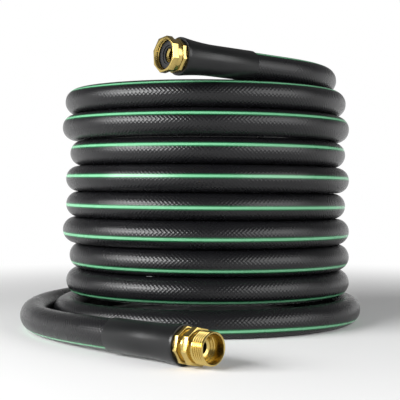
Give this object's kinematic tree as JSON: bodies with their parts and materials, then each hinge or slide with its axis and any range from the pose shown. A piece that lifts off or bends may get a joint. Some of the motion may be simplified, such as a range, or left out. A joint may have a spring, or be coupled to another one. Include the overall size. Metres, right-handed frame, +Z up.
{
  "type": "garden hose",
  "caption": "Coiled heavy garden hose with a swivelling brass female coupling and a threaded brass male coupling, each behind a black bend-restricting sleeve.",
  "frame": {"origin": "middle of the part's box on the surface that the coil stands on", "axes": "+Z up along the stack of turns, -Y towards the front, where both ends cross the stack, +X to the right seen from the front"},
  "size_m": [0.354, 0.5206, 0.2782],
  "materials": {
    "hose_cover": "satin black with a fine weave showing through and one mint green stripe",
    "brass": "machined, bright",
    "washer": "matte dark grey",
    "sleeve": "satin black"
  },
  "bodies": {
    "hose": {"hose_coil": "hose_cover", "hose_top_end": "hose_cover", "hose_bottom_end": "hose_cover", "female_tailpiece": "brass", "female_ferrule": "brass", "female_sleeve": "sleeve", "male_coupling": "brass", "male_ferrule": "brass", "male_sleeve": "sleeve"},
    "swivel_nut": {"swivel_nut": "brass", "hose_washer": "washer"}
  },
  "joints": [
    {"name": "nut_swivel", "type": "hinge", "parent": "hose", "child": "swivel_nut", "pos_m": [-0.02472, -0.10301, 0.26127], "axis": [-0.7973, -0.6025, 0.0376], "continuous": true}
  ]
}
